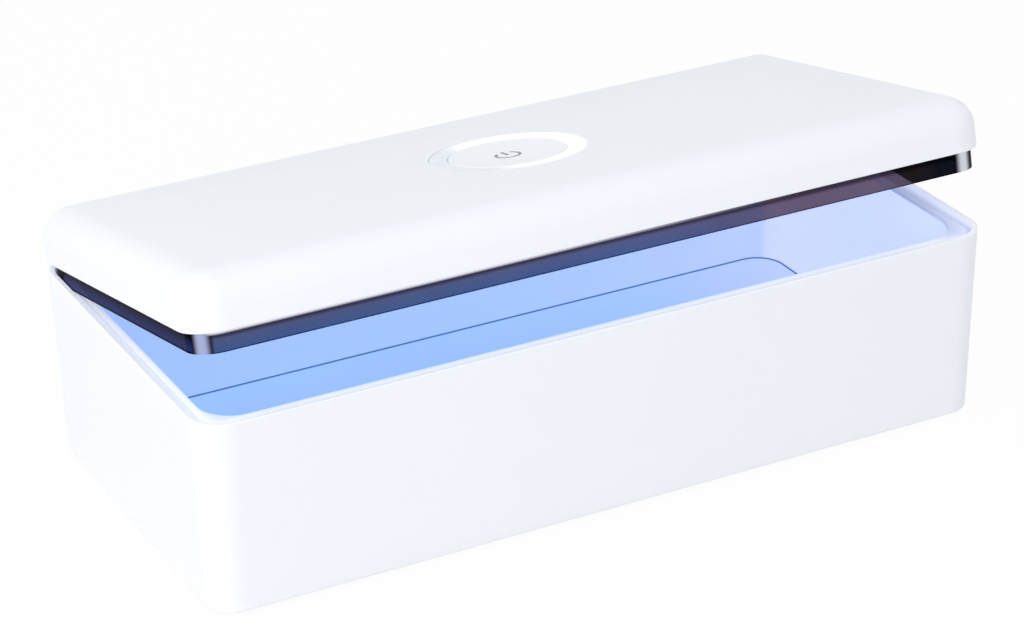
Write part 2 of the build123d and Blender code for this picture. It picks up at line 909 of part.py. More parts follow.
# ------------------------------------------------ lid magnets, hinge bushes
with BuildPart() as lid_magnets:
    with BuildSketch(LID.offset(shelf_top)):
        with Locations(*[(x, -half_width + lid_magnet_inset) for x in magnet_spots]):
            Rectangle(lid_magnet[0], lid_magnet[1], align=(Align.CENTER, Align.MIN))
    extrude(amount=lid_magnet[2])
lid_magnets.part.label = "lid_magnets"

with BuildPart() as hinge_bushes:
    for spot in hinge_spots:
        with BuildSketch(LID_SIDE.offset(spot)):
            with Locations((hinge_y, hinge_above)):
                Circle(bush_radius)
                Circle(pin_radius + pin_clearance, mode=Mode.SUBTRACT)
        extrude(amount=lid_knuckle / 2, both=True)
hinge_bushes.part.label = "hinge_bushes"

# ------------------------------------------------------------------- export
pieces = [
    outer_shell,
    liner_tub,
    floor_plate,
    bottom_cover,
    feet,
    cover_screws,
    hinge_pins,
    base_magnets,
    interlock_magnet_part,
    lid_shell,
    skirt_ring,
    inner_panel,
    quartz_windows,
    led_boards,
    uv_leds,
    control_board,
    main_chip,
    buzzer,
    power_parts,
    hall_sensor,
    ring_leds,
    tact_switch,
    power_inlet,
    light_ring,
    power_symbol,
    button_cap,
    switch_plunger,
    lid_screws,
    board_screws,
    lid_magnets,
    hinge_bushes,
]
for piece in pieces:
    export_step(piece.part, "parts/" + piece.part.label + ".step")
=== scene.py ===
"""Dresses the sanitizer box: finishes, small fittings, lamps, floor and camera.

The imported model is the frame. It stays as it is, and every piece added here
rides on one of its three bodies: the base, the lid or the button.
"""

import functools
import json
import logging
import math
from dataclasses import dataclass
from enum import Enum
from typing import Any

import bmesh
import bpy
from mathutils import Matrix, Vector


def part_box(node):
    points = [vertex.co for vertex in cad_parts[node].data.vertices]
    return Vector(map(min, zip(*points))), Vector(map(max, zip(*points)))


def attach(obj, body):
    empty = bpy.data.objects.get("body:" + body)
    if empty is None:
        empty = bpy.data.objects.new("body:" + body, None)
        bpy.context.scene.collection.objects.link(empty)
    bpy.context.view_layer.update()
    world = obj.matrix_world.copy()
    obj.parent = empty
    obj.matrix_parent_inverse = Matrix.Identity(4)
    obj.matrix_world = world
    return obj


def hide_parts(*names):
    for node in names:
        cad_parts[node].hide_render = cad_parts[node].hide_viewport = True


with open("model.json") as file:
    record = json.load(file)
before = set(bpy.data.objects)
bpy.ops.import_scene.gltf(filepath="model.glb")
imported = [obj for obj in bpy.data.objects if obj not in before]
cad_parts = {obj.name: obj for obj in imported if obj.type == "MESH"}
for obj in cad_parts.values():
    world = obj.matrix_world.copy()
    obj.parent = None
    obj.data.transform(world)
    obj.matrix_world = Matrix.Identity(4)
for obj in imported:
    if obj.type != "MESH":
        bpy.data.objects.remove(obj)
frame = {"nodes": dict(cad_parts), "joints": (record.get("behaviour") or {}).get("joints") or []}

LOG = logging.getLogger("sanitizer_box")
MM = 0.001

Colour = tuple[float, float, float]
Point = tuple[float, float, float]
Span = tuple[float, float]
Socket = bpy.types.NodeSocket

WHITE: Colour = (1.0, 1.0, 1.0)
BLACK: Colour = (0.02, 0.02, 0.02)
RISE: Span = (0.0, 1.0)
FALL: Span = (1.0, 0.0)
CLOUD: Span = (0.3, 0.7)
SHARP_EDGE = math.radians(35.0)
BEVEL_STEPS = 2
ROUND = 0.5
# The mix node's sockets for the share and the two colours, and for their mix.
MIX_INPUTS = (0, 6, 7)
MIX_COLOUR = 2


class Body(Enum):
    """The bodies that added pieces ride on."""

    BASE = "base"
    LID = "lid"


class Sum(Enum):
    """The kinds of arithmetic that a node can do."""

    ADD = "ADD"
    LESS = "SUBTRACT"
    TIMES = "MULTIPLY"
    HIGHEST = "MAXIMUM"
    SIZE = "ABSOLUTE"
    ROOT = "SQRT"
    ANGLE = "ARCTAN2"


class Cells(Enum):
    """What is measured in a pattern of cells."""

    HOLLOW = "SMOOTH_F1"
    EDGE = "DISTANCE_TO_EDGE"


# ---------------------------------------------------------------- lid geometry


@dataclass(frozen=True)
class LidFrame:
    """The lid's own frame: its hinge, its tilt at rest and its origin."""

    tilt: float = math.radians(11.9)
    above_rim: float = 1.2 * MM
    hinge_reach: float = 55.4 * MM

    @property
    def hinge(self) -> Vector:
        """The hinge axis at mid length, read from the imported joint."""
        joint = next(j for j in frame["joints"] if j["name"] == "lid_hinge")
        return Vector(joint["pos_m"])

    @property
    def up(self) -> Vector:
        """The lid's upward direction at rest."""
        return Vector((0.0, math.sin(self.tilt), math.cos(self.tilt)))

    @property
    def back(self) -> Vector:
        """The lid's direction from front to hinge at rest."""
        return Vector((0.0, math.cos(self.tilt), -math.sin(self.tilt)))

    @property
    def origin(self) -> Vector:
        """The point on the rim plane, at the middle of the lid."""
        return self.hinge - self.back * self.hinge_reach - self.up * self.above_rim

    @property
    def matrix(self) -> Matrix:
        """The lid frame's place in the row frame."""
        return Matrix.Translation(self.origin) @ Matrix.Rotation(-self.tilt, 4, "X")

    def extent(self, node: str) -> tuple[Vector, Vector]:
        """Measures a node along the lid's own axes.

        Args:
            node: The node's name.

        Returns:
            Its lowest and highest corner in the lid's frame.
        """
        piece = frame["nodes"][node]
        turn = self.matrix.inverted() @ piece.matrix_world
        places = [turn @ vertex.co for vertex in piece.data.vertices]
        return (
            Vector(min(place[part] for place in places) for part in range(3)),
            Vector(max(place[part] for place in places) for part in range(3)),
        )


# ------------------------------------------------------------------ node trees


def linear(*channels: int) -> Colour:
    """Turns a screen colour into the linear colour that a shader wants.

    Args:
        *channels: Red, green and blue, 0 to 255.

    Returns:
        The linear colour.
    """
    shares = [channel / 255 for channel in channels]
    return tuple(
        share / 12.92 if share <= 0.04045 else ((share + 0.055) / 1.055) ** 2.4
        for share in shares
    )


def toned(colour: Colour, factor: float, lift: float = 0.0) -> Colour:
    """Returns a darker or lighter shade of a colour."""
    return tuple(min(1.0, part * factor + lift) for part in colour)


@dataclass(frozen=True)
class Outline:
    """The body's outline seen from above, with its rounded corners."""

    half_length: float = 110.0 * MM
    half_width: float = 53.6 * MM
    radius: float = 8.6 * MM
    middle: float = -2.2 * MM


class Nodes:
    """A node tree, with short ways to add and join its nodes."""

    def __init__(self, tree: bpy.types.NodeTree) -> None:
        """Takes over a tree and empties it."""
        self.tree = tree
        self.tree.nodes.clear()

    def add(self, kind: str, **inputs: Any) -> bpy.types.Node:
        """Adds a node and fills its inputs.

        Args:
            kind: The node's type name.
            **inputs: Values or output sockets, by input name with _ for spaces.

        Returns:
            The new node.
        """
        node = self.tree.nodes.new(kind)
        self.fill(node, **inputs)
        return node

    def fill(self, node: bpy.types.Node, **inputs: Any) -> None:
        """Fills a node's inputs, given by name with _ for spaces."""
        for name, value in inputs.items():
            self.put(value, node.inputs[name.replace("_", " ")])

    def put(self, value: Any, socket: Socket) -> None:
        """Joins an output to a socket, or sets the socket's own value.

        Args:
            value: An output socket, a number or a tuple.
            socket: The input to fill.
        """
        if isinstance(value, Socket):
            self.tree.links.new(value, socket)
        elif socket.type == "RGBA" and len(value) == 3:
            socket.default_value = (*value, 1.0)
        else:
            socket.default_value = value

    def sum(self, kind: Sum, *parts: Any) -> Socket:
        """Works out one step of arithmetic.

        Args:
            kind: The kind of arithmetic.
            *parts: The numbers or sockets that it works on.

        Returns:
            The result's socket.
        """
        node = self.add("ShaderNodeMath")
        node.operation = kind.value
        for part, socket in zip(parts, node.inputs):
            self.put(part, socket)
        return node.outputs[0]

    def product(self, *factors: Any) -> Socket:
        """Returns the product of several values."""
        return functools.reduce(functools.partial(self.sum, Sum.TIMES), factors)

    def highest(self, *values: Any) -> Socket:
        """Returns the largest of several values."""
        return functools.reduce(functools.partial(self.sum, Sum.HIGHEST), values)

    def radius(self, across: Socket, along: Socket) -> Socket:
        """Returns the length of the line that two parts span."""
        squares = [self.product(part, part) for part in (across, along)]
        return self.sum(Sum.ROOT, self.sum(Sum.ADD, *squares))

    def directly_seen(self) -> Socket:
        """Marks what the camera sees, also in mirrors and through clear plastic.

        Returns:
            1 for such rays, else 0.
        """
        path = self.add("ShaderNodeLightPath").outputs
        kinds = ("Is Camera Ray", "Is Glossy Ray", "Is Transmission Ray")
        return self.highest(*(path[kind] for kind in kinds))


class Sheet(Nodes):
    """A material's node tree, with an output and one main shader.

    Its place is that of the point in the object's own frame, in metres.
    """

    def __init__(self, name: str) -> None:
        """Starts an empty material.

        Args:
            name: The material's name.
        """
        self.material = bpy.data.materials.new(name)
        self.material.use_nodes = True
        super().__init__(self.material.node_tree)
        self.output = self.add("ShaderNodeOutputMaterial")
        self.shader = self.add("ShaderNodeBsdfPrincipled")
        self.fill(self.output, Surface=self.shader.outputs["BSDF"])
        self.place = self.add("ShaderNodeTexCoord").outputs["Object"]

    def main(self, **inputs: Any) -> None:
        """Fills inputs of the main shader, by name with _ for spaces."""
        self.fill(self.shader, **inputs)

    def stretch(self, scale: Point) -> None:
        """Stretches the patterns that are laid out from here on."""
        node = self.add("ShaderNodeMapping", Vector=self.place, Scale=scale)
        self.place = node.outputs["Vector"]

    def split(self, vector: Socket) -> tuple[Socket, ...]:
        """Returns the three parts of a vector."""
        node = self.add("ShaderNodeSeparateXYZ", Vector=vector)
        return node.outputs["X"], node.outputs["Y"], node.outputs["Z"]

    def lid_place(self, lid: LidFrame) -> tuple[Socket, ...]:
        """Gives the point's place along the lid's own axes.

        Args:
            lid: The lid's frame.

        Returns:
            The place along the lid's length, from its front to its hinge, and up.
        """
        node = self.add("ShaderNodeMapping", Vector=self.place)
        node.vector_type = "TEXTURE"
        node.inputs["Location"].default_value = lid.origin
        node.inputs["Rotation"].default_value = (-lid.tilt, 0.0, 0.0)
        return self.split(node.outputs["Vector"])

    def seen_through(self) -> Socket:
        """Returns 1 where the surface is seen through clear plastic, else 0."""
        return self.add("ShaderNodeLightPath").outputs["Is Transmission Ray"]

    def ramp(
        self, value: Socket, span: Span, reach: Span = RISE, smooth: bool = True
    ) -> Socket:
        """Maps a value from one span to another and holds it at the ends.

        Args:
            value: The socket to map.
            span: The values at which the ramp starts and ends.
            reach: What it gives at those two values.
            smooth: Whether the ramp eases in and out.

        Returns:
            The mapped value's socket.
        """
        node = self.add(
            "ShaderNodeMapRange",
            Value=value,
            From_Min=span[0],
            From_Max=span[1],
            To_Min=reach[0],
            To_Max=reach[1],
        )
        node.interpolation_type = "SMOOTHSTEP" if smooth else "LINEAR"
        return node.outputs["Result"]

    def between(self, share: Socket, first: Any, second: Any) -> Socket:
        """Returns the value that lies a share of the way between two others."""
        return self.ramp(share, RISE, (first, second), smooth=False)

    def noise(self, size: float, detail: float = 2.0) -> Socket:
        """Makes soft noise.

        Args:
            size: The size of one patch, in metres.
            detail: How many finer layers it has.

        Returns:
            A value from 0 to 1.
        """
        node = self.add(
            "ShaderNodeTexNoise", Vector=self.place, Scale=1.0 / size, Detail=detail
        )
        return node.outputs[0]

    def cloud(self, size: float, reach: Span) -> Socket:
        """Returns a value that drifts between two levels in soft patches."""
        return self.ramp(self.noise(size), CLOUD, reach)

    def cells(self, size: float, feature: Cells) -> bpy.types.Node:
        """Lays out cells.

        Args:
            size: The size of one cell, in metres.
            feature: What is measured in each cell.

        Returns:
            The node.
        """
        node = self.add("ShaderNodeTexVoronoi", Vector=self.place, Scale=1.0 / size)
        node.feature = feature.value
        return node

    def blend(self, share: Any, first: Any, second: Any) -> Socket:
        """Mixes two colours.

        Args:
            share: How much of the second colour, 0 to 1.
            first: The first colour or socket.
            second: The second colour or socket.

        Returns:
            The mixed colour's socket.
        """
        node = self.add("ShaderNodeMix")
        node.data_type = "RGBA"
        for value, slot in zip((share, first, second), MIX_INPUTS):
            self.put(value, node.inputs[slot])
        return node.outputs[MIX_COLOUR]

    def scaled(self, colour: Any, factor: Any) -> Socket:
        """Multiplies a colour by a value or by another colour.

        Args:
            colour: The colour or socket.
            factor: What it is multiplied by, a colour or socket.

        Returns:
            The product's socket.
        """
        node = self.add("ShaderNodeVectorMath")
        node.operation = "MULTIPLY"
        self.put(colour, node.inputs[0])
        self.put(factor, node.inputs[1])
        return node.outputs[0]

    def shaded(self, colour: Socket, value: Socket) -> Socket:
        """Returns a colour with its brightness scaled."""
        node = self.add("ShaderNodeHueSaturation", Color=colour, Value=value)
        return node.outputs["Color"]

    def inset(self, outline: Outline) -> Socket:
        """Measures how far the point lies inside an outline with round corners.

        Args:
            outline: The outline.

        Returns:
            The distance from the outline, near it.
        """
        overs = []
        across, along, _ = self.split(self.place)
        along = self.sum(Sum.LESS, along, outline.middle)
        for part, half in ((across, outline.half_length), (along, outline.half_width)):
            straight = half - outline.radius
            over = self.sum(Sum.LESS, self.sum(Sum.SIZE, part), straight)
            overs.append(self.highest(over, 0.0))
        return self.sum(Sum.LESS, outline.radius, self.radius(*overs))

    def bump(self, height: Socket, depth: float, below: Socket | None = None) -> Socket:
        """Turns a height into a surface normal.

        Args:
            height: A value from 0 to 1.
            depth: The height of 1, in metres.
            below: A coarser normal to lay this one on.

        Returns:
            The normal's socket.
        """
        node = self.add("ShaderNodeBump", Height=height, Strength=1.0, Distance=depth)
        if below is not None:
            self.fill(node, Normal=below)
        return node.outputs["Normal"]


# -------------------------------------------------------------------- finishes


@dataclass(frozen=True)
class Pattern:
    """A soft pattern: how wide its patches are, and how many finer layers it has."""

    size: float
    detail: float = 2.0


@dataclass(frozen=True)
class Finish:
    """A finish, whose colour, gloss and grain each follow a soft pattern.

    The colour drifts between two tones of itself, the second of them lifted.
    The roughness changes by gloss_change over gloss_span of its pattern.
    """

    name: str
    colour: Colour
    roughness: float = 0.4
    flow: Pattern = Pattern(0.01)
    tones: Span = (1.0, 1.0)
    lift: float = 0.0
    patches: Pattern = Pattern(0.002)
    gloss_span: Span = CLOUD
    gloss_change: Span = (-0.04, 0.04)
    grain: Pattern = Pattern(0.0005)
    grain_depth: float = 0.0
    stretch: Point | None = None

    def make(self) -> bpy.types.Material:
        """Builds the material.

        Returns:
            The finished material.
        """
        sheet = Sheet(self.name)
        if self.stretch:
            sheet.stretch(self.stretch)
        reach = tuple(self.roughness + change for change in self.gloss_change)
        patches = self.pattern(sheet, self.patches)
        sheet.main(Roughness=sheet.ramp(patches, self.gloss_span, reach))
        if self.grain_depth:
            relief = self.relief(sheet)
            sheet.main(Normal=sheet.bump(relief, self.grain_depth, self.form(sheet)))
        self.dress(sheet)
        return sheet.material

    def pattern(self, sheet: Sheet, kind: Pattern) -> Socket:
        """Returns a pattern, from 0 to 1."""
        return sheet.noise(kind.size, kind.detail)

    def relief(self, sheet: Sheet) -> Socket:
        """Returns the height of the grain, from 0 to 1."""
        return self.pattern(sheet, self.grain)

    def form(self, sheet: Sheet) -> Socket | None:
        """Returns a coarser normal under the grain, where the finish has one."""
        return None

    def dress(self, sheet: Sheet) -> None:
        """Fills in the colour and what else this kind of finish has.

        Args:
            sheet: The material's nodes.
        """
        first = toned(self.colour, self.tones[0])
        second = toned(self.colour, self.tones[1], self.lift)
        flow = self.pattern(sheet, self.flow)
        sheet.main(Base_Color=sheet.blend(flow, first, second))


@dataclass(frozen=True)
class MouldedPlastic(Finish):
    """Moulded plastic with a fine spark texture and faint flow shading."""

    flow: Pattern = Pattern(0.03, 3.0)
    tones: Span = (0.98, 1.0)
    patches: Pattern = Pattern(0.012, 4.0)
    grain: Pattern = Pattern(0.00035)
    grain_depth: float = 0.000004


@dataclass(frozen=True)
class RimmedPlastic(MouldedPlastic):
    """The outer shell's plastic, with painted light on its rim.

    An emission on the rim's top and inner side stands in for the chamber's light falling there.
    The two are painted apart, the inner side brighter at one end, and the glow is many times
    stronger where it is seen through the skirt.
    A span, here and in the other finishes, says where a change starts and ends,
    in metres.
    """

    outline: Outline = Outline()
    rim: float = 0.0526
    painted_spill: Colour = (0.1, 0.105, 0.125)
    through: float = 34.0
    top: Span = (0.0005, 0.0001)
    top_share: float = 0.8
    inner: Span = (0.0003, 0.0006)
    inner_down: Span = (0.0022, 0.0006)
    inner_share: Span = (1.8, 2.1)
    inner_side: Span = (-0.1088, -0.106)
    inner_through: float = 0.002
    side: float = 0.0003

    def dress(self, sheet: Sheet) -> None:
        """Adds painted light, as an emission, on the rim's top and inner side.

        Args:
            sheet: The material's nodes.
        """
        super().dress(sheet)
        across, _, up = sheet.split(sheet.place)
        inset = sheet.inset(self.outline)
        through = sheet.seen_through()
        span = tuple(self.rim - down for down in self.top)
        top = sheet.ramp(up, span, (0.0, self.top_share))
        bright = sheet.ramp(across, self.inner_side, self.inner_share)
        raised = sheet.sum(Sum.ADD, up, sheet.product(through, self.inner_through))
        span = tuple(self.rim - down for down in self.inner_down)
        inner = sheet.product(
            sheet.ramp(raised, span, (0.0, bright)), sheet.ramp(inset, self.inner)
        )
        share = sheet.product(
            sheet.highest(top, inner),
            sheet.ramp(inset, (-self.side, 0.0)),
            sheet.ramp(up, (self.rim + self.side, self.rim + 2 * self.side), FALL),
            sheet.between(through, 1.0, self.through),
        )
        # painted light: the rim's emission, boosted where it is seen through the skirt
        light = sheet.scaled(self.painted_spill, share)
        sheet.main(Emission_Color=light, Emission_Strength=1.0)


@dataclass(frozen=True)
class CrownedPlastic(MouldedPlastic):
    """The lid's plastic, whose top falls away gently towards its edges."""

    lid: LidFrame = LidFrame()
    outline: Outline = Outline()
    crown_inset: float = 0.03
    crown_drop: float = 0.0012

    def form(self, sheet: Sheet) -> Socket | None:
        """Works out the normal of the crown.

        Args:
            sheet: The material's nodes.

        Returns:
            The normal.
        """
        halves = (self.outline.half_length, self.outline.half_width)
        shares = []
        for part, half in zip(sheet.lid_place(self.lid), halves):
            inset = sheet.sum(Sum.LESS, half, sheet.sum(Sum.SIZE, part))
            shares.append(sheet.ramp(inset, (0.0, self.crown_inset)))
        return sheet.bump(sheet.product(*shares), self.crown_drop)


@dataclass(frozen=True)
class LitPlastic(Finish):
    """Reflecting plastic inside the chamber, with the lamps' blue light painted on: a
    blue-tinted colour and an emission glow, lighter towards one end.
    """

    patches: Pattern = Pattern(0.01)
    gloss_span: Span = (0.1, 0.9)
    gloss_change: Span = (-0.02, 0.02)
    grain: Pattern = Pattern(0.0006)
    grain_depth: float = 0.000002
    far_colour: Colour = WHITE
    glow: float = 0.4
    span: Span = (0.045, 0.1)
    through: float = 33.0
    cloud_size: float = 0.05
    cloud: Span = (0.96, 1.0)

    def dress(self, sheet: Sheet) -> None:
        """Fills in the colour and the glow, which are painted light.

        Args:
            sheet: The material's nodes.
        """
        colour, glow = self.light(sheet)
        # painted light: the glow is many times stronger where it is seen through the smoked
        # skirt
        reach = sheet.between(sheet.seen_through(), 1.0, self.through)
        sheet.main(
            Base_Color=sheet.shaded(colour, sheet.cloud(self.cloud_size, self.cloud)),
            Emission_Color=sheet.scaled(colour, sheet.product(glow, reach)),
            Emission_Strength=self.glow,
        )

    def light(self, sheet: Sheet) -> tuple[Socket, Any]:
        """Works out the colour of the painted light on the plastic.

        Args:
            sheet: The material's nodes.

        Returns:
            The colour, and how much of it glows.
        """
        across, _, _ = sheet.split(sheet.place)
        share = sheet.ramp(across, self.span)
        return sheet.blend(share, self.colour, self.far_colour), 1.0


@dataclass(frozen=True)
class LinerPlastic(LitPlastic):
    """The liner, with painted light and shade: blue light on the walls, a lighter end wall,
    light and shade on the rim and in the groove, and a painted shadow line round the floor
    plate.
    """

    glow: float = 0.45
    span: Span = (0.0, 0.09)
    end_colour: Colour = linear(218, 220, 241)
    end_span: Span = (0.1, 0.103)
    outline: Outline = Outline()
    rim: float = 0.0506
    rim_light: Colour = linear(240, 242, 252)
    rim_inner: Colour = linear(212, 221, 250)
    rim_shade: Colour = linear(194, 205, 236)
    rim_span: Span = (0.0034, 0.0062)
    rim_glow: Span = (1.15, 0.44)
    outside: Span = (0.0018, 0.002)
    groove: Span = (0.003, 0.0033)
    groove_span: Span = (-0.1, -0.104)
    groove_glow: float = 0.6
    ledge_from: Span = (0.09, 0.105)
    ledge_span: Span = (0.1084, 0.1088)
    ledge_front: Span = (-0.055, -0.015)
    ledge_fade: float = 0.5
    ledge_through: float = 1.1
    edge: float = 0.0003
    edge_band: float = 0.0016
    edge_glow: Span = (1.35, 0.95)
    shadow_line: float = 0.0083
    shadow_line_edge: float = 0.0001
    shadow_line_colour: Colour = linear(90, 142, 176)
    shadow_line_glow: float = 0.3

    def light(self, sheet: Sheet) -> tuple[Socket, Any]:
        """Adds the painted light and shade of the end wall, the rim, the groove and the shadow
        line round the floor to the walls' colour.

        Args:
            sheet: The material's nodes.

        Returns:
            The colour, and how much of it glows.
        """
        across, along, up = sheet.split(sheet.place)
        inset = sheet.inset(self.outline)
        wall = sheet.blend(sheet.ramp(across, self.span), self.colour, self.far_colour)
        # painted light: the end wall is lighter than the back wall
        wall = sheet.blend(sheet.ramp(across, self.end_span), wall, self.end_colour)
        # painted shade on the ledge at one end, lighter towards the front
        shade = sheet.product(
            sheet.ramp(across, self.ledge_span, FALL),
            sheet.ramp(across, self.ledge_from),
            sheet.ramp(along, self.ledge_front, (self.ledge_fade, 1.0)),
        )
        slope = sheet.ramp(inset, self.rim_span)
        rim = sheet.blend(slope, self.rim_light, self.rim_inner)
        rim = sheet.blend(shade, rim, self.rim_shade)
        groove = sheet.product(
            sheet.ramp(inset, self.groove, FALL), sheet.ramp(across, self.groove_span)
        )
        high = sheet.highest(
            sheet.ramp(up, (self.rim - self.edge, self.rim)),
            sheet.ramp(inset, self.outside, FALL),
            groove,
        )
        # painted shadow: a dark line on the wall just above the floor plate, in the gap round
        # it, with less glow
        low = sheet.ramp(up, (self.shadow_line - self.shadow_line_edge, self.shadow_line), FALL)
        colour = sheet.blend(low, sheet.blend(high, wall, rim), self.shadow_line_colour)
        # painted light: the rim's glow, lower in its painted shade and boosted where it is seen
        # through the skirt, with more glow along the walls' top edge
        rim_glow = sheet.highest(
            sheet.ramp(shade, RISE, self.rim_glow),
            sheet.product(sheet.seen_through(), self.ledge_through),
        )
        edge = sheet.ramp(across, self.end_span, self.edge_glow)
        edge = sheet.ramp(up, (self.rim - self.edge_band, self.rim), (1.0, edge))
        return colour, sheet.product(
            sheet.between(high, edge, rim_glow),
            sheet.between(low, 1.0, self.shadow_line_glow),
            sheet.between(groove, 1.0, self.groove_glow),
        )


@dataclass(frozen=True)
class SmokedPlastic(Finish):
    """Polished smoke-black plastic that lets only the chamber's light through.

    Its colour holds painted light and shade: warmer at the top and bluer below, and darker
    towards the far end and on the sides. It also has a painted shadow line and a painted light
    line at its top, and painted highlight strips on its corners.
    """

    patches: Pattern = Pattern(0.006, 4.0)
    gloss_change: Span = (0.0, 0.03)
    grain: Pattern = Pattern(0.02)
    grain_depth: float = 0.00001
    index: float = 1.045
    cloud_size: float = 0.02
    cloud: Span = (0.95, 1.05)
    lid: LidFrame = LidFrame()
    far_colour: Colour = (0.0124, 0.0091, 0.0129)
    span: Span = (0.0, 0.06)
    high_tint: Colour = (1.15, 0.95, 0.83)
    low_tint: Colour = (0.65, 0.97, 1.13)
    depth: float = 0.005
    shadow_line: Span = (-0.002, -0.0009)
    shadow_line_share: float = 0.3
    edge_light: Colour = linear(224, 219, 231)
    edge_up: Span = (-0.0008, -0.0001)
    edge_front: Span = (-0.0505, -0.0515)
    edge_span: Span = (0.06, -0.04)
    end_colour: Colour = (0.005, 0.0065, 0.0112)
    end_span: Span = (0.0895, 0.0965)
    side_span: Span = (0.1055, 0.1065)
    side_share: Span = (0.04, 0.45)
    side_tint: Colour = (0.7, 0.65, 1.15)
    mirror_near: Colour = linear(170, 178, 218)
    mirror_far: Colour = linear(206, 210, 220)
    mirror_ends: Span = (-0.1, 0.1)
    mirror_span: Span = (0.15, 1.0)
    metal_span: Span = (0.0, 0.25)
    corner: Span = (0.1014, 0.045)
    corner_wall: Span = (0.006, 0.0064)
    shine: Span = (0.8, 0.2)
    shine_spread: float = 0.5

    def dress(self, sheet: Sheet) -> None:
        """Fills in the smoke with its painted light and shade, the painted highlight strips on
        the corners and the painted light line at the top edge.

        Args:
            sheet: The material's nodes.
        """
        across, along, up = sheet.lid_place(self.lid)
        cloud = sheet.cloud(self.cloud_size, self.cloud)
        smoke = sheet.scaled(self.smoke(sheet, across, up), cloud)
        # painted highlight: tinted mirror strips on the corners
        highlight_strip = self.highlight_strip(sheet, across, along)
        far = sheet.ramp(across, self.mirror_ends)
        mirror = sheet.blend(far, self.mirror_near, self.mirror_far)
        # painted highlight: a light line just under the lid's edge, given off as an emission
        edge = sheet.product(
            sheet.ramp(up, self.edge_up),
            sheet.ramp(along, self.edge_front),
            sheet.ramp(across, self.edge_span),
        )
        share = sheet.ramp(highlight_strip, self.mirror_span)
        sheet.main(
            Base_Color=sheet.blend(share, smoke, mirror),
            Metallic=sheet.ramp(highlight_strip, self.metal_span),
            IOR=self.index,
            Transmission_Weight=1.0,
            Emission_Color=sheet.scaled(self.edge_light, edge),
            Emission_Strength=1.0,
        )

    def smoke(self, sheet: Sheet, across: Socket, up: Socket) -> Socket:
        """Works out how much light the plastic lets through, with painted light and shade.

        Args:
            sheet: The material's nodes.
            across: The place along the lid's length.
            up: The height above the lid's lower edge.

        Returns:
            The colour that passes.
        """
        # painted light and shade: warm at the top and blue below, darker towards the far end, at
        # its end and on the sides
        share = sheet.ramp(across, self.span)
        low = sheet.ramp(up, (0.0, -self.depth))
        tint = sheet.blend(low, self.high_tint, self.low_tint)
        tint = sheet.blend(share, tint, WHITE)
        passed = sheet.scaled(sheet.blend(share, self.colour, self.far_colour), tint)
        end = sheet.ramp(across, self.end_span)
        passed = sheet.blend(end, passed, self.end_colour)
        side = sheet.ramp(sheet.sum(Sum.SIZE, across), self.side_span)
        dim = sheet.scaled(self.side_tint, sheet.between(low, *self.side_share))
        passed = sheet.scaled(passed, sheet.blend(side, WHITE, dim))
        # painted shadow: a dark line along the top, under the lid's edge
        return sheet.scaled(passed, sheet.ramp(up, self.shadow_line, (1.0, self.shadow_line_share)))

    def highlight_strip(self, sheet: Sheet, across: Socket, along: Socket) -> Socket:
        """Lays a metallic mirror strip on each rounded corner, at an angle that shifts along the
        lid: a painted highlight, whose brightness reflects the surroundings.

        Args:
            sheet: The material's nodes.
            across: The place along the lid's length.
            along: The place from the lid's front to its hinge.

        Returns:
            The strip's strength, 0 to 1.
        """
        side, end = (
            sheet.sum(Sum.LESS, sheet.sum(Sum.SIZE, part), middle)
            for part, middle in zip((across, along), self.corner)
        )
        middle = sheet.ramp(across, self.mirror_ends, self.shine, smooth=False)
        turn = sheet.sum(Sum.LESS, sheet.sum(Sum.ANGLE, side, end), middle)
        return sheet.product(
            sheet.ramp(sheet.sum(Sum.SIZE, turn), (0.0, self.shine_spread), FALL),
            sheet.ramp(sheet.radius(side, end), self.corner_wall),
        )


